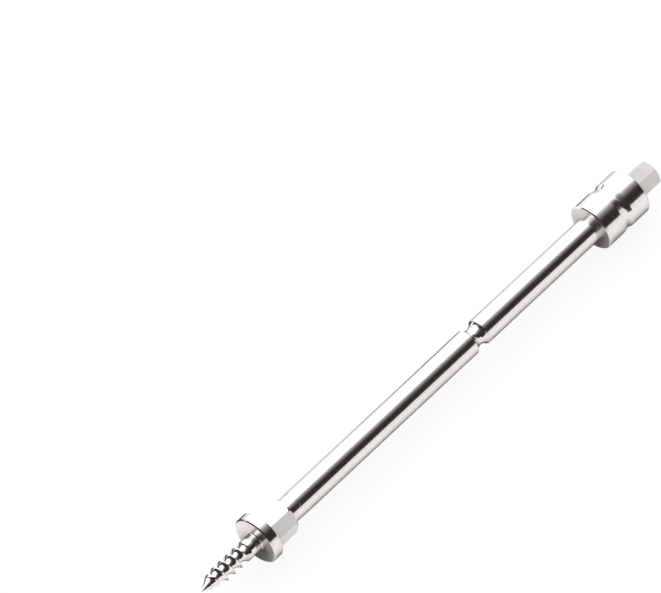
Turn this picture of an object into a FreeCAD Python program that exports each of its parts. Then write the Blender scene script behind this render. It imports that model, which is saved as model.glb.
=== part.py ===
import FreeCAD, Part
import math
import os
import Sketcher

# Bone pin, one turned and milled bar.
# The pin lies along X: cutting tip at -X, drive end at +X.
# Axial sizes are measured from the front face of the flange.

doc = FreeCAD.newDocument("bone_pin")

sheet = doc.addObject("Spreadsheet::Sheet", "dims")
ROWS = [
    ("tip_len", 13.7),            # flange front face to the point
    ("tip_half_angle", 30.0),     # point cone, half of the included angle
    ("thread_od", 3.5),
    ("thread_core", 2.00),
    ("thread_pitch", 1.75),
    ("thread_crest", 0.10),       # width of the crest land
    ("thread_steep", 0.20),       # axial run of the flank that faces the flange
    ("thread_corner", 0.10),      # rise of the rounded corner at the floor
    ("thread_flank_end", 60.0),   # slope of the hollow flank at the crest
    ("thread_end", 2.14),         # flange front face to the last groove
    ("thread_pre", 3.2),          # start of the cut ahead of the point
    ("shank_fillet", 0.22),       # hollow round at the root of the shank
    ("flange_dia", 9.4),
    ("flange_len", 2.0),
    ("flange_edge", 0.22),
    ("flange_back_edge", 0.10),
    ("wrench_af", 6.9),
    ("wrench_sides", 8.0),
    ("wrench_end", 7.30),
    ("wrench_lead", 0.50),        # axial length of the end cone
    ("wrench_lead_half_angle", 30.0),
    ("wrench_roll", 24.7),
    ("neck_dia", 4.88),
    ("neck_end", 9.80),
    ("shaft_dia", 5.0),
    ("notch_mid", 56.45),
    ("notch_half", 1.45),
    ("notch_depth", 0.74),
    ("coupling_front", 87.1),
    ("coupling_dia", 9.2),
    ("coupling_edge", 0.22),
    ("coupling_groove_front", 91.15),
    ("coupling_groove_mid", 92.60),   # where the two flanks would meet
    ("coupling_groove_back", 93.6),
    ("coupling_groove_depth", 0.36),
    ("coupling_groove_round", 0.90),
    ("coupling_back", 97.65),
    ("drive_af", 4.66),
    ("drive_end", 103.0),
    ("drive_edge", 0.30),
    ("drive_roll", 27.95),
    ("flute_len", 2.1),           # straight part, from the point
    ("flute_runout", 3.4),        # radius of the cutter at the run-out
    ("flute_floor", 0.20),        # floor of the flute above the axis
    ("flute_roll", 68.2),         # floor of the flute, angle from +Z towards -Y
    ("frame_x", 95.6),            # middle of the rear coupling cylinder
]
for i, (name, value) in enumerate(ROWS):
    sheet.set("A%d" % (i + 1), name)
    sheet.set("B%d" % (i + 1), "%g" % value)
    sheet.setAlias("B%d" % (i + 1), name)
doc.recompute()


def val(name):
    return float(sheet.get(name))


body = doc.addObject("PartDesign::Body", "bone_pin")
body.Label = "bone_pin"


def plane(role):
    for f in body.Origin.OriginFeatures:
        if f.Role == role:
            return f
    raise RuntimeError("no plane " + role)


V = FreeCAD.Vector
D = "dims."


def open_sketch(name, role, offset=None):
    sk = body.newObject("Sketcher::SketchObject", name)
    sk.AttachmentSupport = [(plane(role), "")]
    sk.MapMode = "FlatFace"
    if offset is not None:
        sk.AttachmentOffset = offset
    return sk


# --- turned profile ------------------------------------------------------
# Half section on the XZ plane: sketch x is the pin axis, sketch y the radius.
prof = open_sketch("turned_profile", "XZ_Plane")

r_thr = "dims.thread_od / 2"
r_fl = "dims.flange_dia / 2"
r_neck = "dims.neck_dia / 2"
r_shaft = "dims.shaft_dia / 2"
r_cpl = "dims.coupling_dia / 2"

c = math.cos(math.radians(180.0 / val("wrench_sides")))
half_step = "180 deg / dims.wrench_sides"
r_wr = "dims.wrench_af / 2 / cos(%s)" % half_step
R_WR = val("wrench_af") / 2 / c
lead_drop = "dims.wrench_lead * tan(dims.wrench_lead_half_angle * 1 deg)"
LEAD = val("wrench_lead") * math.tan(math.radians(val("wrench_lead_half_angle")))
r_dr = "dims.drive_af / 2 / cos(30 deg)"
R_DR = val("drive_af") / 2 / math.cos(math.radians(30))

x_cone = "-dims.tip_len + dims.thread_od / 2 / tan(dims.tip_half_angle * 1 deg)"
X_CONE = -val("tip_len") + val("thread_od") / 2 / math.tan(math.radians(val("tip_half_angle")))

# (x, r, x expression, r expression, kind of the edge that leaves this point)
P = []


def pt(x, r, xe, re, arc=None):
    P.append((x, r, xe, re, arc))


v = val
pt(-v("tip_len"), 0.0, "-dims.tip_len", "0")
pt(X_CONE, v("thread_od") / 2, x_cone, r_thr)
F = v("shank_fillet")
K = math.sqrt(0.5)
pt(-F, v("thread_od") / 2, "-dims.shank_fillet", r_thr,
   ("root", -F * (1 - K), v("thread_od") / 2 + F * (1 - K), None, None))
pt(0.0, v("thread_od") / 2 + F, "0", r_thr + " + dims.shank_fillet")
pt(0.0, v("flange_dia") / 2 - v("flange_edge"), "0", r_fl + " - dims.flange_edge")
pt(v("flange_edge"), v("flange_dia") / 2, "dims.flange_edge", r_fl)
pt(v("flange_len") - v("flange_back_edge"), v("flange_dia") / 2,
   "dims.flange_len - dims.flange_back_edge", r_fl)
pt(v("flange_len"), v("flange_dia") / 2 - v("flange_back_edge"),
   "dims.flange_len", r_fl + " - dims.flange_back_edge")
pt(v("flange_len"), R_WR, "dims.flange_len", r_wr)
pt(v("wrench_end") - v("wrench_lead"), R_WR, "dims.wrench_end - dims.wrench_lead", r_wr)
pt(v("wrench_end"), R_WR - LEAD, "dims.wrench_end", r_wr + " - " + lead_drop)
pt(v("wrench_end"), v("neck_dia") / 2, "dims.wrench_end", r_neck)
pt(v("neck_end"), v("neck_dia") / 2, "dims.neck_end", r_neck)
pt(v("neck_end"), v("shaft_dia") / 2, "dims.neck_end", r_shaft)
pt(v("notch_mid") - v("notch_half"), v("shaft_dia") / 2,
   "dims.notch_mid - dims.notch_half", r_shaft,
   ("notch", v("notch_mid"), v("shaft_dia") / 2 - v("notch_depth"),
    "dims.notch_mid", r_shaft + " - dims.notch_depth"))
pt(v("notch_mid") + v("notch_half"), v("shaft_dia") / 2,
   "dims.notch_mid + dims.notch_half", r_shaft)
pt(v("coupling_front"), v("shaft_dia") / 2, "dims.coupling_front", r_shaft)
pt(v("coupling_front"), v("coupling_dia") / 2 - v("coupling_edge"),
   "dims.coupling_front", r_cpl + " - dims.coupling_edge")
pt(v("coupling_front") + v("coupling_edge"), v("coupling_dia") / 2,
   "dims.coupling_front + dims.coupling_edge", r_cpl)
# ring groove: a long and a short flank with a round between them
gd = v("coupling_groove_depth")
g1 = math.atan(gd / (v("coupling_groove_mid") - v("coupling_groove_front")))
g2 = math.atan(gd / (v("coupling_groove_back") - v("coupling_groove_mid")))
gt = v("coupling_groove_round") * math.tan((g1 + g2) / 2)
g1e = "atan(dims.coupling_groove_depth / (dims.coupling_groove_mid - dims.coupling_groove_front))"
g2e = "atan(dims.coupling_groove_depth / (dims.coupling_groove_back - dims.coupling_groove_mid))"
gte = "dims.coupling_groove_round * tan((%s + %s) / 2)" % (g1e, g2e)
gr = v("coupling_dia") / 2 - gd
# middle of the round, along the line that halves the corner
gh = (g2 - g1) / 2
gdrop = v("coupling_groove_round") * (1 / math.cos((g1 + g2) / 2) - 1)
pt(v("coupling_groove_front"), v("coupling_dia") / 2, "dims.coupling_groove_front", r_cpl)
pt(v("coupling_groove_mid") - gt * math.cos(g1), gr + gt * math.sin(g1),
   "dims.coupling_groove_mid - %s * cos(%s)" % (gte, g1e),
   r_cpl + " - dims.coupling_groove_depth + %s * sin(%s)" % (gte, g1e),
   ("ring", v("coupling_groove_mid") - gdrop * math.sin(gh), gr + gdrop * math.cos(gh), None, None))
pt(v("coupling_groove_mid") + gt * math.cos(g2), gr + gt * math.sin(g2),
   "dims.coupling_groove_mid + %s * cos(%s)" % (gte, g2e),
   r_cpl + " - dims.coupling_groove_depth + %s * sin(%s)" % (gte, g2e))
pt(v("coupling_groove_back"), v("coupling_dia") / 2, "dims.coupling_groove_back", r_cpl)
pt(v("coupling_back") - v("coupling_edge"), v("coupling_dia") / 2,
   "dims.coupling_back - dims.coupling_edge", r_cpl)
pt(v("coupling_back"), v("coupling_dia") / 2 - v("coupling_edge"),
   "dims.coupling_back", r_cpl + " - dims.coupling_edge")
pt(v("coupling_back"), R_DR, "dims.coupling_back", r_dr)
pt(v("drive_end") - v("drive_edge"), R_DR, "dims.drive_end - dims.drive_edge", r_dr)
pt(v("drive_end"), R_DR - v("drive_edge") * 1.7, "dims.drive_end",
   r_dr + " - dims.drive_edge * 1.7")
pt(v("drive_end"), 0.0, "dims.drive_end", "0")


def dim(sk, kind, geo, pos, value, expr, name):
    """Distance of a point from the origin, positive value, sign kept by side."""
    idx = sk.addConstraint(Sketcher.Constraint(kind, geo, pos, value))
    sk.renameConstraint(idx, name)
    if expr is not None:
        sk.setExpression("Constraints." + name, expr)
    return idx


geo = []
n = len(P)
for i in range(n):
    a, b = P[i], P[(i + 1) % n]
    A, B = V(a[0], a[1], 0), V(b[0], b[1], 0)
    if a[4] is not None:
        M = V(a[4][1], a[4][2], 0)
        arc = Part.Arc(A, M, B)
        geo.append(prof.addGeometry(arc, False))
    else:
        geo.append(prof.addGeometry(Part.LineSegment(A, B), False))


def end_pos(i, which):
    """Sketch point index for the start or end of piece i of the outline."""
    if P[i][4] is None:
        return 1 if which == "a" else 2
    g = prof.Geometry[geo[i]]
    d1 = g.StartPoint.distanceToPoint(V(P[i][0], P[i][1], 0))
    first = 1 if d1 < 1e-6 else 2
    return first if which == "a" else 3 - first


for i in range(n):
    j = (i + 1) % n
    prof.addConstraint(Sketcher.Constraint("Coincident", geo[i], end_pos(i, "b"),
                                           geo[j], end_pos(j, "a")))
for i in range(n):
    x, r, xe, re, _ = P[i]
    pos = end_pos(i, "a")
    if abs(x) < 1e-9:
        prof.addConstraint(Sketcher.Constraint("PointOnObject", geo[i], pos, -2))
    else:
        dim(prof, "DistanceX", geo[i], pos, x, xe, "px%d" % i)
    if abs(r) < 1e-9:
        prof.addConstraint(Sketcher.Constraint("PointOnObject", geo[i], pos, -1))
    else:
        dim(prof, "DistanceY", geo[i], pos, r, re, "py%d" % i)
    if P[i][4] is not None:
        tag, mx, mr, mxe, mre = P[i][4]
        if tag == "root":
            idx = prof.addConstraint(Sketcher.Constraint("Radius", geo[i], F))
            prof.renameConstraint(idx, "rad_root")
            prof.setExpression("Constraints.rad_root", "dims.shank_fillet")
            continue
        if tag == "ring":
            idx = prof.addConstraint(Sketcher.Constraint("Radius", geo[i], v("coupling_groove_round")))
            prof.renameConstraint(idx, "rad_ring")
            prof.setExpression("Constraints.rad_ring", "dims.coupling_groove_round")
            continue
        half = abs(P[(i + 1) % n][0] - P[i][0]) / 2
        depth = P[i][1] - mr
        rad = (half * half + depth * depth) / (2 * depth)
        he = "dims.notch_half"
        de = "dims.notch_depth"
        idx = prof.addConstraint(Sketcher.Constraint("Radius", geo[i], rad))
        prof.renameConstraint(idx, "rad_" + tag)
        prof.setExpression("Constraints.rad_" + tag,
                           "(%s * %s + %s * %s) / (2 * %s)" % (he, he, de, de, de))
doc.recompute()

rev = body.newObject("PartDesign::Revolution", "turned_bar")
rev.Profile = prof
rev.ReferenceAxis = (prof, ["H_Axis"])
rev.Angle = 360.0
prof.Visibility = False
doc.recompute()
print("revolution volume", round(rev.Shape.Volume, 3), rev.State, rev.Shape.isValid())


# --- flats -----------------------------------------------------------------
def flats(name, sides, af_expr, af, x0_expr, x0, x1_expr, x1, roll_name, r_out):
    """Cut the corners off a round section so a regular polygon is left.

    roll is the angle of one corner from +Z toward -Y.
    """
    sk = open_sketch(name + "_outline", "YZ_Plane")
    sk.setExpression("AttachmentOffset.Base.z", x1_expr)
    sk.AttachmentOffset = FreeCAD.Placement(V(0, 0, x1), FreeCAD.Rotation())
    sk.setExpression("AttachmentOffset.Base.z", x1_expr)
    rr = af / 2 / math.cos(math.pi / sides)
    roll = math.radians(val(roll_name))
    ids = []
    for k in range(sides):
        t0 = roll + 2 * math.pi * k / sides
        t1 = roll + 2 * math.pi * (k + 1) / sides
        a = V(-rr * math.sin(t0), rr * math.cos(t0), 0)
        b = V(-rr * math.sin(t1), rr * math.cos(t1), 0)
        ids.append(sk.addGeometry(Part.LineSegment(a, b), False))
    for k in range(sides):
        sk.addConstraint(Sketcher.Constraint("Coincident", ids[k], 2, ids[(k + 1) % sides], 1))
    inner = sk.addGeometry(Part.Circle(V(0, 0, 0), V(0, 0, 1), af / 2), True)
    sk.addConstraint(Sketcher.Constraint("Coincident", inner, 3, -1, 1))
    i = sk.addConstraint(Sketcher.Constraint("Diameter", inner, af))
    sk.renameConstraint(i, "af")
    sk.setExpression("Constraints.af", af_expr)
    for k in range(sides):
        sk.addConstraint(Sketcher.Constraint("Tangent", ids[k], inner))
    for k in range(1, sides - 1):
        sk.addConstraint(Sketcher.Constraint("Equal", ids[0], ids[k]))
    yy = -rr * math.sin(roll)
    i = sk.addConstraint(Sketcher.Constraint("DistanceX", ids[0], 1, yy))
    sk.renameConstraint(i, "corner")
    sk.setExpression("Constraints.corner",
                     "-(%s) / 2 / cos(180 deg / %d) * sin(dims.%s * 1 deg)" % (af_expr, sides, roll_name))
    outer = sk.addGeometry(Part.Circle(V(0, 0, 0), V(0, 0, 1), r_out), False)
    sk.addConstraint(Sketcher.Constraint("Coincident", outer, 3, -1, 1))
    i = sk.addConstraint(Sketcher.Constraint("Radius", outer, r_out))
    doc.recompute()
    pk = body.newObject("PartDesign::Pocket", name)
    pk.Profile = sk
    pk.Length = x1 - x0
    pk.setExpression("Length", "(%s) - (%s)" % (x1_expr, x0_expr))
    pk.Reversed = False
    sk.Visibility = False
    doc.recompute()
    return pk


before = body.Shape.Volume
wr = flats("wrench_flats", int(v("wrench_sides")), "dims.wrench_af", v("wrench_af"),
           "dims.flange_len", v("flange_len"), "dims.wrench_end", v("wrench_end"),
           "wrench_roll", R_WR + 0.4)
print("wrench flats removed", round(before - wr.Shape.Volume, 3), wr.State, wr.Shape.isValid())

before = body.Shape.Volume
dr = flats("drive_flats", 6, "dims.drive_af", v("drive_af"),
           "dims.coupling_back", v("coupling_back"), "dims.drive_end", v("drive_end"),
           "drive_roll", R_DR + 0.4)
print("drive flats removed", round(before - dr.Shape.Volume, 3), dr.State, dr.Shape.isValid())

# --- bone thread -------------------------------------------------------------
# One groove section, swept on a right-hand helix; the floor runs at a constant
# radius so the crests fade out on the point cone.
gs = open_sketch("thread_section", "XZ_Plane")
xe = -v("thread_end")                      # drive-side lip of the last groove
lip = v("thread_od") / 2 + 0.35            # section reaches past the crest
core = v("thread_core") / 2
W = v("thread_pitch") - v("thread_crest")  # groove width at the crest
hgt = v("thread_od") / 2 - core
st = v("thread_steep")
cn = v("thread_corner")
fe = math.radians(v("thread_flank_end"))
fr = hgt / (1 - math.cos(fe))               # radius of the hollow flank
x_a = xe - W                                # crest, steep flank behind it
x_b = x_a + st                              # foot of the steep flank
x_c = xe - fr * math.sin(fe)                # floor, where the hollow flank starts
x_d = xe                                    # next crest
ext = lip - v("thread_od") / 2
pts = [V(x_a - ext * 0.1, lip, 0), V(x_a, v("thread_od") / 2, 0), V(x_b, core + cn, 0),
       V((x_b + x_c) / 2, core + cn / 4, 0), V(x_c, core, 0),
       V(x_c + fr * math.sin(fe / 2), core + fr * (1 - math.cos(fe / 2)), 0),
       V(x_d, v("thread_od") / 2, 0), V(x_d + ext * 0.1, lip, 0)]
segs = [Part.LineSegment(pts[0], pts[1]), Part.LineSegment(pts[1], pts[2]),
        Part.Arc(pts[2], pts[3], pts[4]), Part.Arc(pts[4], pts[5], pts[6]),
        Part.LineSegment(pts[6], pts[7]), Part.LineSegment(pts[7], pts[0])]
for g in segs:
    gs.addGeometry(g, False)
doc.recompute()
hx = body.newObject("PartDesign::SubtractiveHelix", "bone_thread")
hx.Profile = gs
hx.ReferenceAxis = (gs, ["H_Axis"])
hx.Mode = 0
hx.Pitch = v("thread_pitch")
hx.Height = v("tip_len") + v("thread_pre") - v("thread_end")
hx.setExpression("Pitch", "dims.thread_pitch")
hx.setExpression("Height", "dims.tip_len + dims.thread_pre - dims.thread_end")
hx.Angle = 0.0
hx.LeftHanded = False
hx.Reversed = True
gs.Visibility = False
before = dr.Shape.Volume
doc.recompute()
print("thread removed", round(before - hx.Shape.Volume, 3), hx.State, hx.Shape.isValid(),
      [round(q, 3) for q in (hx.Shape.BoundBox.XMin, hx.Shape.BoundBox.XMax)])

# --- cutting flute -------------------------------------------------------------
# A notch beside the axis, open at the point, with a curved run-out at the back.
fl = open_sketch("flute_section", "XZ_Plane")
roll = FreeCAD.Rotation(V(1, 0, 0), 0)
x0 = -v("tip_len") - 0.6
x1 = -v("tip_len") + v("flute_len")
fz = v("flute_floor")
top = v("thread_od") / 2 + 0.6
R = v("flute_runout")
ang = math.acos(max(-1.0, (R - (top - fz)) / R))
xa = x1 + R * math.sin(ang)
mid = ang / 2
q = [V(x0, fz, 0), V(x1, fz, 0),
     V(x1 + R * math.sin(mid), fz + R - R * math.cos(mid), 0), V(xa, top, 0), V(x0, top, 0)]
fl.addGeometry(Part.LineSegment(q[0], q[1]), False)
fl.addGeometry(Part.Arc(q[1], q[2], q[3]), False)
fl.addGeometry(Part.LineSegment(q[3], q[4]), False)
fl.addGeometry(Part.LineSegment(q[4], q[0]), False)
# the section plane is turned about the pin axis and pushed beside it
fl.AttachmentSupport = [(plane("XZ_Plane"), "")]
th = math.radians(v("flute_roll"))
fl.AttachmentOffset = FreeCAD.Placement(V(0, 0, 0), FreeCAD.Rotation(V(1, 0, 0), v("flute_roll")))
doc.recompute()
fp = body.newObject("PartDesign::Pocket", "cutting_flute")
fp.Profile = fl
fp.Length = 3.0
fp.Reversed = False
fl.Visibility = False
before = hx.Shape.Volume
doc.recompute()
print("flute removed", round(before - fp.Shape.Volume, 3), fp.State, fp.Shape.isValid())

body.Tip = fp
# the row frame starts on the axis, in the middle of the rear coupling cylinder
body.setExpression("Placement.Base.x", "-dims.frame_x")
doc.recompute()

bad = [o.Label for o in doc.Objects if any(s in ("Invalid", "Error") for s in o.State)]
if bad:
    raise RuntimeError("objects with errors: " + ", ".join(bad))

os.makedirs("parts", exist_ok=True)
shape = body.Shape
if shape.isNull() or not shape.isValid() or len(shape.Solids) != 1:
    raise RuntimeError("bone_pin is not one valid solid: %d" % len(shape.Solids))
shape.exportStep("parts/bone_pin.step")
bb = shape.BoundBox
print("bone_pin", round(shape.Volume, 2), "mm3", [round(q, 3) for q in
      (bb.XMin, bb.XMax, bb.YMin, bb.YMax, bb.ZMin, bb.ZMax)], "faces", len(shape.Faces))
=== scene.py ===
import math

import bpy
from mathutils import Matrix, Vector


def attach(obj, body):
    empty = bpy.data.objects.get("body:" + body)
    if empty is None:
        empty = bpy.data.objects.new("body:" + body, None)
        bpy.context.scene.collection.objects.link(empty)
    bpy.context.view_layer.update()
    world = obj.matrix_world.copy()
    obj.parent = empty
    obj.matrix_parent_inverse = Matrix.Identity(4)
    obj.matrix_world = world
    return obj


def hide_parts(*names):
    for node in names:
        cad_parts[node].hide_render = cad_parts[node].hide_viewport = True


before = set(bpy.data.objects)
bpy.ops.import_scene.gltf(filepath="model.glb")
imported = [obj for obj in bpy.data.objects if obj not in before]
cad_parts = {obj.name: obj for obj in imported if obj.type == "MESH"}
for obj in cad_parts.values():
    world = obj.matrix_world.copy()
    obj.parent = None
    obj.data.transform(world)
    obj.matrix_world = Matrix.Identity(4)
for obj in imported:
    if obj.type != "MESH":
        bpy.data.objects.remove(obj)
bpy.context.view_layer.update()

# ---------------------------------------------------------------- sizes, mm
# x runs along the pin from the front face of the flange towards the drive
# end; the row frame starts FRAME_X further on.
FRAME_X = 95.6
TIP = -13.7
R_THREAD = 1.75
TIP_TAN = math.tan(math.radians(30))
PITCH = 1.75
CORE = 1.00
LAND = 0.10
STEEP = 0.20
FLANK_END = 60.0                  # slope of the long flank where it meets the crest
CREST_AT = -2.09                  # crest centre at roll angle 0
R_FLANGE = 4.7
FLANGE_T = 2.0
OCT_AF = 6.9
OCT_END = 7.30
OCT_ROLL = 24.7
HEX_AF = 4.66
HEX_ROLL = 24.2 + 3.75
R_NECK = 2.44
R_SHAFT = 2.5
NOTCH = (56.45, 1.45, 0.74)
CPL = (87.1, 91.15, 93.6, 97.65)
CPL_EDGE = 0.22
R_CPL = 4.6
CPL_GROOVE = (92.60, 0.36)        # where the flanks would meet, and depth
ROOT = 0.22                       # hollow round at the root of the shank
END = 103.0
FLUTE_RAKE = (24.2 + 107.0, 0.06)     # plane normal angle, distance from the axis
FLUTE_FLOOR = (24.2 + 44.0, 0.20)
FLUTE_STRAIGHT = -11.6
FLUTE_R = 3.4

RAD = math.radians


# ------------------------------------------------------------ polygon radius
def poly_r(theta, sides, af, roll, rho):
    """Radius of a polygon with lightly rounded corners at one roll angle."""
    step = 360.0 / sides
    a = (theta - roll) % step
    a = min(a, step - a)                       # angle from the nearest corner
    d = af / 2
    big = d / math.cos(RAD(step / 2))
    r = d / math.cos(RAD(step / 2 - a))
    # the round at the corner: a circle of radius rho touching both flats
    c = big - rho / math.cos(RAD(step / 2))
    s = c * math.sin(RAD(a))
    if s < rho:
        arc = c * math.cos(RAD(a)) + math.sqrt(rho * rho - s * s)
        touch = math.degrees(math.atan2(rho * math.sin(RAD(step / 2)),
                                        c + rho * math.cos(RAD(step / 2))))
        if a < touch:
            r = arc
    return r


# -------------------------------------------------------------- thread shape
FLANK_R = (R_THREAD - CORE) / (1 - math.cos(RAD(FLANK_END)))
FLANK_L = FLANK_R * math.sin(RAD(FLANK_END))


def section(u):
    """Radius of the groove at u behind the drive-side edge of a crest.

    A steep flank, a short floor, then a hollow round that steepens up to the
    next crest.
    """
    width = PITCH - LAND
    depth = R_THREAD - CORE
    if u >= width:
        return R_THREAD + 0.2
    hollow = width - FLANK_L
    if u > hollow:
        return CORE + FLANK_R - math.sqrt(FLANK_R ** 2 - (u - hollow) ** 2)
    if u < STEEP:
        return R_THREAD - (depth - 0.10) * (u / STEEP)
    k = min(1.0, (u - STEEP) / (hollow - STEEP))
    return CORE + 0.10 * (1 - k) ** 2


U_SAMPLES = [0.0, 0.012, 0.03, 0.08, 0.14, 0.185, 0.205, 0.225, 0.25, 0.28, 0.32, 0.36, 0.44, 0.54, 0.64,
             0.74, 0.84, 0.94, 1.03, 1.12, 1.20, 1.28, 1.35, 1.42, 1.48, 1.54, 1.59, 1.62, 1.64]
U_SAMPLES = [u for u in U_SAMPLES if u < PITCH - LAND - 1e-6] + [PITCH - LAND,
                                                               PITCH - LAND + 0.02, PITCH - 0.02]


def flute_limit(x, theta):
    a1, d1 = FLUTE_RAKE
    a2, d2 = FLUTE_FLOOR
    if x > FLUTE_STRAIGHT:
        run = x - FLUTE_STRAIGHT
        if run >= FLUTE_R:
            return 99.0
        d2 = d2 + FLUTE_R - math.sqrt(FLUTE_R ** 2 - run ** 2)
    c1 = math.cos(RAD(theta - a1))
    c2 = math.cos(RAD(theta - a2))
    if c1 <= 1e-3 or c2 <= 1e-3:
        return 99.0
    return max(d1 / c1, d2 / c2)


def envelope(x):
    return min(R_THREAD, max(0.0, (x - TIP) * TIP_TAN))


def thread_r(x, theta):
    """theta in (-180, 180], from +Z towards -Y."""
    e = envelope(x)
    pos = (x - (CREST_AT + LAND / 2 + PITCH * theta / 360.0)) / PITCH
    turn = math.floor(pos)
    u = (pos - turn) * PITCH
    if turn >= 0:
        g = 99.0
    else:
        g = section(u)
        if turn == -1:
            lift = (theta + 70.0) / 175.0
            g += max(0.0, lift) * 0.72
    return max(0.0, min(e, g, flute_limit(x, theta)))


X_THREAD_END = -0.95


def thread_column(theta):
    xs = set()
    base = CREST_AT + LAND / 2 + PITCH * theta / 360.0
    for turn in range(-9, 1):
        for u in U_SAMPLES:
            x = base + turn * PITCH + u
            if TIP + 0.02 < x < X_THREAD_END - 0.03:
                xs.add(round(x, 5))
    cone_end = TIP + R_THREAD / TIP_TAN
    for x in (cone_end - 0.015, cone_end + 0.015, X_THREAD_END):
        xs.add(x)
    for k in range(1, 30):
        xs.add(TIP + 0.004 * k ** 1.9)
    for k in range(1, 36):
        xs.add(TIP + k * 0.14 + 0.003)
    xs = sorted(xs)
    kept = [xs[0]]
    for x in xs[1:]:
        if x - kept[-1] > 0.006:
            kept.append(x)
    if kept[-1] != X_THREAD_END:
        kept[-1] = X_THREAD_END
    return [(x, thread_r(x, theta)) for x in kept]


# ----------------------------------------------------------- turned profile
def rounded(points):
    """Polyline with arcs at its corners. Each point is x, r, radius, segments.

    Two support points go beside every arc so long faces shade flat.
    """
    out = []
    n = len(points)
    for i, (x, r, rho, seg) in enumerate(points):
        p = Vector((x, r))
        if i == 0 or i == n - 1 or rho <= 0:
            out.append((p.x, p.y))
            continue
        a = Vector(points[i - 1][:2]) - p
        b = Vector(points[i + 1][:2]) - p
        la, lb = a.length, b.length
        a.normalize()
        b.normalize()
        ang = math.acos(max(-1, min(1, a.dot(b))))
        turn = math.pi - ang
        t = min(rho * math.tan(turn / 2), 0.42 * la, 0.42 * lb)
        rho2 = t / math.tan(turn / 2)
        centre = p + (a + b).normalized() * (rho2 / math.cos(turn / 2))
        s, e = p + a * t, p + b * t
        gap = min(0.03, 0.3 * t + 0.006)
        out.append(tuple(s + a * min(gap, 0.05 * la)))
        v0, v1 = s - centre, e - centre
        for k in range(seg + 1):
            w = k / seg
            m = (v0 * math.sin((1 - w) * turn) + v1 * math.sin(w * turn)) / math.sin(turn)
            out.append(tuple(centre + m))
        out.append(tuple(e + b * min(gap, 0.05 * lb)))
    return out


def arc_points(x0, x1, r, depth, seg):
    """Circular groove between two points at the same radius."""
    half = (x1 - x0) / 2
    rho = (half * half + depth * depth) / (2 * depth)
    cx, cr = (x0 + x1) / 2, r - depth + rho
    a = math.asin(half / rho)
    return [(cx + rho * math.sin(-a + 2 * a * k / seg), cr - rho * math.cos(-a + 2 * a * k / seg))
            for k in range(1, seg)]


def groove_edge(x, r, slope_deg, side, rho=0.05):
    """Points that ease a cylinder into a groove wall, on the given side."""
    return [(x - side * 0.05, r), (x - side * 0.025, r), (x, r - 0.004)]


OCT_RE = OCT_AF / 2 - 0.005
HEX_R = HEX_AF / 2 / math.cos(RAD(30))
HEX_RE = HEX_R - 0.52
LEAD_TAN = math.tan(RAD(30))


def turned_column(theta):
    ro = poly_r(theta, 8, OCT_AF, OCT_ROLL, 0.07)
    rh = poly_r(theta, 6, HEX_AF, HEX_ROLL, 0.10)
    xc = OCT_END - max(0.004, (ro - OCT_RE) / LEAD_TAN)
    hx = END - max(0.02, (rh - HEX_RE) * 0.62)
    seg1 = rounded([
        (X_THREAD_END, R_THREAD, 0, 0),
        (-0.004, R_THREAD, ROOT, 7),
        (0.0, R_FLANGE - 0.24, 0.03, 3),
        (0.24, R_FLANGE, 0.07, 4),
        (FLANGE_T, R_FLANGE, 0.11, 5),
        (FLANGE_T + 0.004, ro, 0.05, 3),
        (xc, ro, 0.035, 3),
        (OCT_END, OCT_RE, 0.04, 3),
        (OCT_END + 0.004, R_NECK, 0.05, 3),
        (9.78, R_NECK, 0.03, 2),
        (9.83, R_SHAFT, 0.03, 2),
        (NOTCH[0] - NOTCH[1] - 0.10, R_SHAFT, 0, 0),
    ])[1:]
    # a few rings along the shaft
    x0 = seg1[-2][0]
    shaft_a = [(x0 + (NOTCH[0] - NOTCH[1] - 0.10 - x0) * k / 12, R_SHAFT) for k in range(1, 12)]
    notch = [(NOTCH[0] - NOTCH[1] - 0.03, R_SHAFT - 0.001), (NOTCH[0] - NOTCH[1] + 0.03, R_SHAFT - 0.03)]
    arc = arc_points(NOTCH[0] - NOTCH[1], NOTCH[0] + NOTCH[1], R_SHAFT, NOTCH[2], 26)
    notch += [p for p in arc if NOTCH[0] - NOTCH[1] + 0.06 < p[0] < NOTCH[0] + NOTCH[1] - 0.06]
    notch += [(NOTCH[0] + NOTCH[1] - 0.03, R_SHAFT - 0.03), (NOTCH[0] + NOTCH[1] + 0.03, R_SHAFT - 0.001)]
    xb = NOTCH[0] + NOTCH[1] + 0.10
    seg2 = rounded([
        (xb, R_SHAFT, 0, 0),
        (CPL[0], R_SHAFT, 0.03, 3),
        (CPL[0] + 0.004, R_CPL - CPL_EDGE, 0.04, 3),
        (CPL[0] + CPL_EDGE, R_CPL, 0.08, 4),
        (CPL[1] - 0.08, R_CPL, 0, 0),
    ])
    shaft_b = [(xb + (seg2[1][0] - xb) * k / 8, R_SHAFT) for k in range(1, 8)]
    ring = rounded([
        (CPL[1] - 0.08, R_CPL, 0, 0),
        (CPL[1], R_CPL, 0.25, 4),
        (CPL_GROOVE[0], R_CPL - CPL_GROOVE[1], 0.90, 10),
        (CPL[2], R_CPL, 0.09, 4),
        (CPL[2] + 0.08, R_CPL, 0, 0),
    ])[1:-1]
    seg3 = rounded([
        (CPL[2] + 0.08, R_CPL, 0, 0),
        (CPL[3] - CPL_EDGE, R_CPL, 0.08, 4),
        (CPL[3] - 0.004, R_CPL - CPL_EDGE, 0.05, 3),
        (CPL[3], rh, 0.10, 4),
        (hx, rh, 0.06, 3),
        (END, HEX_RE, 0.12, 4),
        (END, 0.35, 0, 0),
    ])
    return seg1[:-1] + shaft_a + [seg1[-1]] + notch + [seg2[0]] + shaft_b + seg2[1:] + ring + seg3


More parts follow.
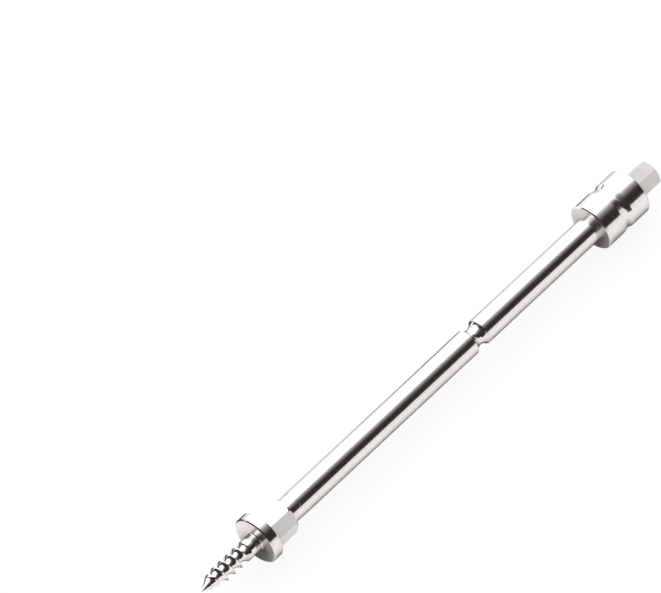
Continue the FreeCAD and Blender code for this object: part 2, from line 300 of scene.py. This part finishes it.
# --------------------------------------------------------------- columns
def column_angles():
    base = [OCT_ROLL - 180 + 2.5 * k for k in range(144)]
    extra = []
    for k in range(8):
        c = OCT_ROLL + 45 * k
        extra += [c - 0.95, c - 0.42, c + 0.42, c + 0.95]
    for k in range(6):
        c = HEX_ROLL + 60 * k
        extra += [c - 1.0, c - 0.5, c + 0.5, c + 1.0]
    extra += [FLUTE_FLOOR[0] - 83.4, FLUTE_RAKE[0] + 88.0 - 180, FLUTE_RAKE[0] - 0.0]
    a = sorted(((t + 180.0) % 360.0) - 180.0 for t in base + extra)
    kept = [a[0]]
    for t in a[1:]:
        if t - kept[-1] > 0.2:
            kept.append(t)
    return kept


def build_pin(name):
    angles = column_angles()
    verts, cols = [], []
    apex = 0
    verts.append(((TIP - FRAME_X) / 1000, 0.0, 0.0))
    first_split = None
    for th in angles:
        pts = thread_column(th)
        split = len(pts) - 1
        pts = pts + turned_column(th)[0:]
        s, c = math.sin(RAD(th)), math.cos(RAD(th))
        ids = []
        for x, r in pts:
            ids.append(len(verts))
            verts.append(((x - FRAME_X) / 1000, -r * s / 1000, r * c / 1000))
        cols.append((ids, split))
    far = len(verts)
    verts.append(((END - FRAME_X) / 1000, 0.0, 0.0))
    faces = []
    mats = []
    V = [Vector(v) for v in verts]
    n = len(cols)
    for j in range(n):
        (a, sa), (b, sb) = cols[j], cols[(j + 1) % n]
        wrap = j == n - 1
        # thread zone: the two columns have their own samples, so zip them
        faces.append((apex, a[0], b[0]))
        i, k = 0, 0
        while i < sa or k < sb:
            if i == sa:
                step_a = False
            elif k == sb:
                step_a = True
            else:
                step_a = (V[a[i + 1]] - V[b[k]]).length < (V[a[i]] - V[b[k + 1]]).length
            if step_a:
                faces.append((a[i], a[i + 1], b[k]))
                i += 1
            else:
                faces.append((a[i], b[k + 1], b[k]))
                k += 1
        ra, rb = a[sa:], b[sb:]
        for i in range(len(ra) - 1):
            faces.append((ra[i], ra[i + 1], rb[i + 1], rb[i]))
        faces.append((ra[-1], far, rb[-1]))
    me = bpy.data.meshes.new(name)
    me.from_pydata(verts, [], faces)
    me.validate()
    me.update()
    ob = bpy.data.objects.new(name, me)
    bpy.context.scene.collection.objects.link(ob)
    return ob


pin = build_pin("pin_body")
me = pin.data

import bmesh
bm = bmesh.new()
bm.from_mesh(me)
bmesh.ops.remove_doubles(bm, verts=bm.verts, dist=2e-7)
bmesh.ops.dissolve_degenerate(bm, edges=bm.edges, dist=1e-7)
bmesh.ops.recalc_face_normals(bm, faces=bm.faces)
open_edges = [e for e in bm.edges if not e.is_manifold]
print("pin: verts", len(bm.verts), "faces", len(bm.faces), "open or odd edges", len(open_edges),
      "tris", sum(len(f.verts) - 2 for f in bm.faces))
vol = bm.calc_volume(signed=True)
print("pin volume mm3", round(vol * 1e9, 2))
if vol < 0:
    bmesh.ops.reverse_faces(bm, faces=bm.faces)

# finishes: 0 polished turned, 1 satin milled flats, 2 thread, 3 drive stub, 4 faced ends
for f in bm.faces:
    c = f.calc_center_median()
    x = c.x * 1000 + FRAME_X
    r = math.hypot(c.y, c.z) * 1000
    f.smooth = True
    if x < -1.0:
        f.material_index = 2
    elif FLANGE_T + 0.05 < x < OCT_END and abs(f.normal.x) < 0.12 and r < OCT_AF / 2 / math.cos(RAD(22.5)) + 0.01:
        f.material_index = 1
    elif x > CPL[3] + 0.02:
        f.material_index = 3
    elif abs(f.normal.x) > 0.97:
        f.material_index = 4
    else:
        f.material_index = 0
for e in bm.edges:
    if len(e.link_faces) == 2:
        e.smooth = e.calc_face_angle(0) < RAD(38)
bm.to_mesh(me)
bm.free()
me.update()


# -------------------------------------------------------------- materials
def new_mat(name):
    m = bpy.data.materials.new(name)
    m.use_nodes = True
    nt = m.node_tree
    for nd in list(nt.nodes):
        nt.nodes.remove(nd)
    out = nt.nodes.new("ShaderNodeOutputMaterial")
    bsdf = nt.nodes.new("ShaderNodeBsdfPrincipled")
    nt.links.new(bsdf.outputs["BSDF"], out.inputs["Surface"])
    return m, nt, bsdf


def add(nt, kind, **vals):
    nd = nt.nodes.new(kind)
    for k, v in vals.items():
        if k in nd.inputs:
            nd.inputs[k].default_value = v
        else:
            setattr(nd, k, v)
    return nd


def mapped(nt, scale):
    tc = nt.nodes.new("ShaderNodeTexCoord")
    mp = nt.nodes.new("ShaderNodeMapping")
    mp.inputs["Scale"].default_value = scale
    nt.links.new(tc.outputs["Object"], mp.inputs["Vector"])
    return mp.outputs["Vector"]


def ramp(nt, src, stops):
    r = nt.nodes.new("ShaderNodeValToRGB")
    while len(r.color_ramp.elements) > 1:
        r.color_ramp.elements.remove(r.color_ramp.elements[-1])
    for i, (p, c) in enumerate(stops):
        e = r.color_ramp.elements[0] if i == 0 else r.color_ramp.elements.new(p)
        e.position = p
        e.color = c if len(c) == 4 else (*c, 1)
    nt.links.new(src, r.inputs["Fac"])
    return r.outputs["Color"]


def maprange(nt, src, a, b, c, d):
    m = nt.nodes.new("ShaderNodeMapRange")
    m.inputs["From Min"].default_value = a
    m.inputs["From Max"].default_value = b
    m.inputs["To Min"].default_value = c
    m.inputs["To Max"].default_value = d
    nt.links.new(src, m.inputs["Value"])
    return m.outputs["Result"]


def noise(nt, scale_vec, scale, detail=3.0, rough=0.5, dist=0.0):
    v = mapped(nt, scale_vec)
    n = nt.nodes.new("ShaderNodeTexNoise")
    n.inputs["Scale"].default_value = scale
    n.inputs["Detail"].default_value = detail
    n.inputs["Roughness"].default_value = rough
    n.inputs["Distortion"].default_value = dist
    nt.links.new(v, n.inputs["Vector"])
    return n.outputs["Fac"]


def math_node(nt, op, a, b):
    m = nt.nodes.new("ShaderNodeMath")
    m.operation = op
    for i, q in enumerate((a, b)):
        if isinstance(q, (int, float)):
            m.inputs[i].default_value = q
        else:
            nt.links.new(q, m.inputs[i])
    return m.outputs[0]


def steel(name, base_lo, base_hi, rough_lo, rough_hi, marks, bump, mottle=0.0, marks_scale=9000.0,
          turned=0.0, metal=1.0, edge=0.35, facing=False):
    m, nt, b = new_mat(name)
    b.inputs["Metallic"].default_value = metal
    b.inputs["Specular Tint"].default_value = (edge, edge * 0.985, edge * 0.97, 1)
    # turning marks run round the pin, so they vary quickly along x only, or on
    # a faced end quickly along the radius
    if facing:
        tco = nt.nodes.new("ShaderNodeTexCoord")
        sp = nt.nodes.new("ShaderNodeSeparateXYZ")
        nt.links.new(tco.outputs["Object"], sp.inputs[0])
        rad = math_node(nt, "SQRT", math_node(nt, "ADD", math_node(nt, "MULTIPLY", sp.outputs["Y"], sp.outputs["Y"]),
                                              math_node(nt, "MULTIPLY", sp.outputs["Z"], sp.outputs["Z"])), 0.0)
        fine = noise_of(nt, rad, marks_scale, 2.0)
        wide = noise_of(nt, rad, marks_scale * 0.25, 3.0)
    else:
        fine = noise(nt, (1, 0.02, 0.02), marks_scale, 2.0, 0.6)
        wide = noise(nt, (1, 0.05, 0.05), marks_scale * 0.18, 3.0, 0.6)
    cloud = noise(nt, (1, 1, 1), 260.0, 4.0, 0.55)
    speck = noise(nt, (1, 1, 1), 1900.0, 3.0, 0.6)
    mix = math_node(nt, "ADD", math_node(nt, "MULTIPLY", fine, 0.6), math_node(nt, "MULTIPLY", wide, 0.4))
    nt.links.new(ramp(nt, cloud, [(0.3, base_lo), (0.7, base_hi)]), b.inputs["Base Color"])
    rr = math_node(nt, "ADD", maprange(nt, cloud, 0.3, 0.7, rough_lo, rough_hi),
                   math_node(nt, "MULTIPLY", math_node(nt, "SUBTRACT", mix, 0.5), marks))
    if mottle:
        rr = math_node(nt, "ADD", rr, math_node(nt, "MULTIPLY", math_node(nt, "SUBTRACT", speck, 0.5), mottle))
    nt.links.new(rr, b.inputs["Roughness"])
    if turned:
        # the surface is rougher across the marks than along them
        b.inputs["Anisotropic"].default_value = turned
        b.inputs["Anisotropic Rotation"].default_value = 0.25
        tg = nt.nodes.new("ShaderNodeTangent")
        tg.direction_type = "RADIAL"
        tg.axis = "X"
        nt.links.new(tg.outputs["Tangent"], b.inputs["Tangent"])
    bp = nt.nodes.new("ShaderNodeBump")
    bp.inputs["Strength"].default_value = 1.0
    bp.inputs["Distance"].default_value = bump
    h = mix if not mottle else math_node(nt, "ADD", mix, math_node(nt, "MULTIPLY", speck, 2.0))
    nt.links.new(h, bp.inputs["Height"])
    nt.links.new(bp.outputs["Normal"], b.inputs["Normal"])
    return m


def noise_of(nt, value, scale, detail):
    n = nt.nodes.new("ShaderNodeTexNoise")
    n.noise_dimensions = "1D"
    n.inputs["Scale"].default_value = scale
    n.inputs["Detail"].default_value = detail
    nt.links.new(value, n.inputs["W"])
    return n.outputs["Fac"]


mat_polish = steel("steel_polished", (0.80, 0.785, 0.77), (0.84, 0.83, 0.82), 0.13, 0.17, 0.05, 4e-7, turned=0.8)
mat_flats = steel("steel_milled_flats", (0.79, 0.772, 0.758), (0.85, 0.834, 0.82), 0.30, 0.38, 0.08, 1.6e-6, 0.12, 2600.0,
                  metal=0.68, edge=1.0)
mat_thread = steel("steel_thread", (0.80, 0.79, 0.78), (0.85, 0.84, 0.83), 0.09, 0.13, 0.04, 4e-7)
mat_stub = steel("steel_drive_stub", (0.50, 0.484, 0.466), (0.555, 0.54, 0.522), 0.50, 0.60, 0.08, 2.4e-6, 0.14, 2600.0,
                 metal=0.15, edge=1.0)
mat_faced = steel("steel_faced_end", (0.79, 0.775, 0.76), (0.85, 0.84, 0.83), 0.22, 0.30, 0.05, 6e-7, turned=0.9,
                  facing=True)
for m in (mat_polish, mat_flats, mat_thread, mat_stub, mat_faced):
    me.materials.append(m)

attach(pin, "root")
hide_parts("bone_pin")

# -------------------------------------------------------------------- floor
FLOOR_Z = -R_FLANGE / 1000 - 0.00002
seg = 96
fv = [(0.0, 0.0, FLOOR_Z)]
ff = []
radii = [0.05, 0.12, 0.3, 0.8, 3.0]
for rr_ in radii:
    for k in range(seg):
        t = 2 * math.pi * k / seg
        fv.append((-0.04 + rr_ * math.cos(t), rr_ * math.sin(t), FLOOR_Z))
for k in range(seg):
    ff.append((0, 1 + k, 1 + (k + 1) % seg))
for i in range(len(radii) - 1):
    for k in range(seg):
        a = 1 + i * seg + k
        b = 1 + i * seg + (k + 1) % seg
        ff.append((a, a + seg, b + seg, b))
fm = bpy.data.meshes.new("floor")
fm.from_pydata(fv, [], ff)
fm.update()
floor = bpy.data.objects.new("floor", fm)
bpy.context.scene.collection.objects.link(floor)
m, nt, b = new_mat("floor_paper")
b.inputs["Roughness"].default_value = 0.75
b.inputs["Specular IOR Level"].default_value = 0.15
paper_grain = noise(nt, (1, 1, 1), 60.0, 3.0, 0.5)
paper_col = ramp(nt, paper_grain, [(0.3, (0.855, 0.855, 0.85)), (0.7, (0.87, 0.87, 0.865))])
# painted shade: a darker copy of the paper colour, which the floor shows only in reflections
paper_shaded_in_reflections = ramp(nt, paper_grain, [(0.3, (0.752, 0.728, 0.706)), (0.7, (0.765, 0.742, 0.72))])
ftc = nt.nodes.new("ShaderNodeTexCoord")
fsp = nt.nodes.new("ShaderNodeSeparateXYZ")
nt.links.new(ftc.outputs["Object"], fsp.inputs[0])


def band(src, stops, unit=1000.0):
    """Factor along one floor axis, stops in mm between -200 and 200."""
    q = math_node(nt, "ADD", math_node(nt, "MULTIPLY", src, unit / 400.0), 0.5)
    return ramp(nt, q, [((p + 200.0) / 400.0, (v,) * 3) for p, v in stops])


# painted shade on the floor, seen only in reflections: a narrow dark strip of painted contact shadow under the pin that
# fades out under the thread, and a dark sheet painted behind its tip so the reflections there come out dark
shadow_strip = math_node(nt, "MULTIPLY",
                  band(fsp.outputs["Y"], [(-4.2, 0.0), (-2.2, 0.45), (-1.0, 0.92), (2.0, 0.92), (3.5, 0.35), (5.0, 0.0)]),
                  band(fsp.outputs["X"], [(-101.0, 0.3), (-98.0, 1.0)]))
reflected_shade_sheet = math_node(nt, "MULTIPLY", band(fsp.outputs["Y"], [(8.6, 0.0), (10.0, 0.95), (120.0, 0.95), (150.0, 0.0)]),
                  band(fsp.outputs["X"], [(-160.0, 0.0), (-140.0, 1.0), (-89.0, 1.0), (-86.5, 0.0)]))
# painted shade seen only in reflections: two small dark pieces painted aslant behind the notch and behind the ring
# groove, so the reflections there come out dark
slant_a = math_node(nt, "ADD", fsp.outputs["X"], math_node(nt, "MULTIPLY", fsp.outputs["Y"], 1.1))
reflected_shade_a = math_node(nt, "MULTIPLY", band(fsp.outputs["Y"], [(6.9, 0.0), (7.5, 0.95), (60.0, 0.95), (70.0, 0.0)]),
                    band(slant_a, [(-34.0, 0.0), (-32.5, 1.0), (-20.5, 1.0), (-18.0, 0.0)]))
slant_b = math_node(nt, "ADD", fsp.outputs["X"], math_node(nt, "MULTIPLY", fsp.outputs["Y"], 0.2))
reflected_shade_b = math_node(nt, "MULTIPLY", band(fsp.outputs["Y"], [(9.2, 0.0), (9.9, 0.95), (60.0, 0.95), (70.0, 0.0)]),
                    band(slant_b, [(0.5, 0.0), (1.2, 1.0), (3.2, 1.0), (4.0, 0.0)]))
painted_shade_mask = math_node(nt, "MAXIMUM", math_node(nt, "MAXIMUM", shadow_strip, reflected_shade_sheet), math_node(nt, "MAXIMUM", reflected_shade_a, reflected_shade_b))
# the painted shade mask darkens the shaded paper copy towards near black; glossy rays see this, other rays see the
# plain paper colour
fmixc = nt.nodes.new("ShaderNodeMix")
fmixc.data_type = "RGBA"
nt.links.new(painted_shade_mask, fmixc.inputs["Factor"])
nt.links.new(paper_shaded_in_reflections, fmixc.inputs["A"])
fmixc.inputs["B"].default_value = (0.02, 0.02, 0.02, 1)
flp0 = nt.nodes.new("ShaderNodeLightPath")
fpick = nt.nodes.new("ShaderNodeMix")
fpick.data_type = "RGBA"
nt.links.new(flp0.outputs["Is Glossy Ray"], fpick.inputs["Factor"])
nt.links.new(paper_col, fpick.inputs["A"])
nt.links.new(fmixc.outputs["Result"], fpick.inputs["B"])
nt.links.new(fpick.outputs["Result"], b.inputs["Base Color"])
# the backdrop is lit through from below, which keeps the shadow pale
glow = nt.nodes.new("ShaderNodeEmission")
glow.inputs["Color"].default_value = (1.0, 1.0, 1.0, 1)
glow.inputs["Strength"].default_value = 1.0
flp = nt.nodes.new("ShaderNodeLightPath")
fmx = nt.nodes.new("ShaderNodeMixShader")
nt.links.new(math_node(nt, "MULTIPLY", flp.outputs["Is Camera Ray"], 0.85), fmx.inputs["Fac"])
# painted light: the paper glows, seen only in reflections, behind the pin and most brightly just behind the flange
lift = nt.nodes.new("ShaderNodeEmission")
lift.inputs["Color"].default_value = (1.0, 0.995, 0.985, 1)
painted_glow_near = math_node(nt, "MULTIPLY", band(fsp.outputs["Y"], [(3.6, 0.0), (4.8, 0.42), (8.2, 0.42), (9.5, 0.36), (200.0, 0.36)]),
                      band(fsp.outputs["X"], [(-120.0, 0.0), (-115.0, 1.0), (-92.0, 1.0), (-85.0, 0.0)]))
painted_glow_far = band(fsp.outputs["Y"], [(6.5, 0.0), (9.5, 0.36), (200.0, 0.36)])
painted_glow_mask = math_node(nt, "MULTIPLY", math_node(nt, "MAXIMUM", painted_glow_near, painted_glow_far), math_node(nt, "SUBTRACT", 1.0, painted_shade_mask))
nt.links.new(math_node(nt, "MULTIPLY", painted_glow_mask, flp.outputs["Is Glossy Ray"]), lift.inputs["Strength"])
fadd = nt.nodes.new("ShaderNodeAddShader")
nt.links.new(b.outputs["BSDF"], fadd.inputs[0])
nt.links.new(lift.outputs[0], fadd.inputs[1])
nt.links.new(fadd.outputs[0], fmx.inputs[1])
nt.links.new(glow.outputs[0], fmx.inputs[2])
nt.links.new(fmx.outputs[0], [nd for nd in nt.nodes if nd.type == "OUTPUT_MATERIAL"][0].inputs["Surface"])
fm.materials.append(m)

# --------------------------------------------------------- soft studio light
# The surround is painted by direction: a large white softbox behind and over
# the pin that fades out towards the near right, a dark gap on the near side
# and at the far left, and a pale card standing low on the right.
world = bpy.data.worlds.new("studio")
bpy.context.scene.world = world
world.use_nodes = True
wt = world.node_tree
for nd in list(wt.nodes):
    wt.nodes.remove(nd)
wout = wt.nodes.new("ShaderNodeOutputWorld")
bg = wt.nodes.new("ShaderNodeBackground")
wt.links.new(bg.outputs[0], wout.inputs["Surface"])
tc = wt.nodes.new("ShaderNodeTexCoord")


def wmath(op, a, b=0.0, clamp=False):
    nd = wt.nodes.new("ShaderNodeMath")
    nd.operation = op
    nd.use_clamp = clamp
    for i, q in enumerate((a, b)):
        if isinstance(q, (int, float)):
            nd.inputs[i].default_value = q
        else:
            wt.links.new(q, nd.inputs[i])
    return nd.outputs[0]


def along(axis):
    """Component of the direction along a fixed axis, as 0..1."""
    nd = wt.nodes.new("ShaderNodeVectorMath")
    nd.operation = "DOT_PRODUCT"
    wt.links.new(tc.outputs["Generated"], nd.inputs[0])
    nd.inputs[1].default_value = axis
    return wmath("ADD", wmath("MULTIPLY", nd.outputs["Value"], 0.5), 0.5)


def curve(src, stops):
    """Brightness along one direction component, stops as (component, value)."""
    top = max(v for _, v in stops)
    return wmath("MULTIPLY", ramp(wt, src, [((p + 1.0) / 2.0, (v / top,) * 3) for p, v in stops]), top)


away = along((0.15, 0.9887, 0.0))
side = along((0.6626, -0.749, 0.0))
rise = along((0.0, 0.0, 1.0))
sky = curve(rise, [(-1.0, 0.55), (0.2, 0.55), (0.45, 0.72), (0.65, 0.95), (0.85, 1.0), (1.0, 1.0)])
depth_fade = curve(away, [(-1.0, 0.0), (-0.50, 0.015), (-0.302, 0.11), (-0.119, 0.27), (-0.046, 0.43), (0.048, 0.66),
                          (0.110, 1.02), (0.175, 1.40), (0.264, 1.75), (0.40, 2.5), (0.625, 3.0), (1.0, 3.0)])
high = wmath("MAXIMUM", wmath("SUBTRACT", wmath("MULTIPLY", wmath("SUBTRACT", rise, 0.5), 2.0), 0.5), 0.0)
right_fade = curve(wmath("SUBTRACT", side, wmath("MULTIPLY", high, 0.3)),
                   [(-1.0, 1.0), (0.30, 1.0), (0.40, 0.62), (0.50, 0.18), (0.56, 0.05), (1.0, 0.01)])
left_fade = curve(side, [(-1.0, 0.02), (-0.93, 0.03), (-0.87, 1.0), (1.0, 1.0)])
card = wmath("MULTIPLY", curve(side, [(-1.0, 0.0), (0.74, 0.0), (0.78, 1.0), (1.0, 1.0)]),
             curve(rise, [(-1.0, 1.0), (0.27, 1.0), (0.315, 0.0), (1.0, 0.0)]))
# a low dark flag stands behind the pin on its tip side
flag = wmath("MULTIPLY", curve(along((1.0, 0.0, 0.0)), [(-1.0, 1.0), (0.24, 1.0), (0.34, 0.0), (1.0, 0.0)]),
             wmath("MULTIPLY", curve(along((0.0, 1.0, 0.0)), [(-1.0, 0.0), (0.58, 0.0), (0.68, 1.0), (1.0, 1.0)]),
                   curve(rise, [(-1.0, 1.0), (0.11, 1.0), (0.17, 0.0), (1.0, 0.0)])))
ahead_fade = curve(along((1.0, 0.0, 0.0)), [(-1.0, 0.03), (-0.68, 0.05), (-0.53, 1.0), (1.0, 1.0)])
level = wmath("MULTIPLY", wmath("MULTIPLY", wmath("MULTIPLY", sky, ahead_fade), wmath("SUBTRACT", 1.0, flag)),
              wmath("MULTIPLY", depth_fade, wmath("MULTIPLY", right_fade, left_fade)))
# the paper gets most of its light from behind the pin; the backdrop is plain white
lp = wt.nodes.new("ShaderNodeLightPath")


def choose(flag, off, on):
    return wmath("ADD", wmath("MULTIPLY", wmath("SUBTRACT", 1.0, flag), off), wmath("MULTIPLY", flag, on))


paper = wmath("ADD", curve(along((0.4772, 0.8788, 0.0)), [(-1.0, 0.0), (-0.15, 0.0), (0.45, 0.25), (1.0, 0.25)]), 1.12)
tone = wt.nodes.new("ShaderNodeCombineColor")
for channel, rest in (("Red", 0.034), ("Green", 0.028), ("Blue", 0.025)):
    # the rest light in the dark gaps is slightly warm
    lit = wmath("MAXIMUM", wmath("ADD", level, rest), wmath("MULTIPLY", card, 0.95))
    lit = choose(lp.outputs["Is Diffuse Ray"], lit, paper)
    lit = choose(lp.outputs["Is Camera Ray"], lit, 1.0)
    wt.links.new(lit, tone.inputs[channel])
wt.links.new(tone.outputs["Color"], bg.inputs["Color"])
bg.inputs["Strength"].default_value = 1.0

# ------------------------------------------------------------------- camera
AZ, EL = -48.18, 55.9
a, e = RAD(AZ), RAD(EL)
back = Vector((math.sin(a) * math.cos(e), -math.cos(a) * math.cos(e), math.sin(e)))
right = Vector((math.cos(a), math.sin(a), 0.0))
up = back.cross(right)
LENS, SENSOR = 700.0, 36.0
W_PX, H_PX = 661.0, 593.0
F_PX = LENS / SENSOR * W_PX
MID = Vector(((45.0 - FRAME_X) / 1000, 0.0, 0.0))
DIST = F_PX / 5.8 / 1000.0
# pixel of the axis point x = 45 mm
u45, v45 = 429.64, 378.41
aim = MID - right * ((u45 - W_PX / 2) / F_PX * DIST) + up * ((v45 - H_PX / 2) / F_PX * DIST)
cam_data = bpy.data.cameras.new("photo_camera")
cam = bpy.data.objects.new("photo_camera", cam_data)
bpy.context.scene.collection.objects.link(cam)
cam_data.lens = LENS
cam_data.sensor_width = SENSOR
cam_data.clip_start = 0.05
cam_data.clip_end = 50.0
cam.location = aim + back * DIST
cam.rotation_mode = "QUATERNION"
cam.rotation_quaternion = (-back).to_track_quat("-Z", "Y")
bpy.context.scene.camera = cam

scene = bpy.context.scene
scene.view_settings.view_transform = "Standard"
scene.view_settings.look = "None"
scene.view_settings.exposure = 0.0
scene.view_settings.gamma = 1.0


def pixel(p):
    d = p - cam.location
    z = -d.dot(back)
    return (W_PX / 2 + d.dot(right) / z * F_PX, H_PX / 2 - d.dot(up) / z * F_PX)


for label, x in (("tip", TIP), ("flange", 0.0), ("notch", NOTCH[0]), ("coupling", CPL[0]), ("end", END)):
    print("pixel", label, [round(q, 1) for q in pixel(Vector(((x - FRAME_X) / 1000, 0, 0)))])
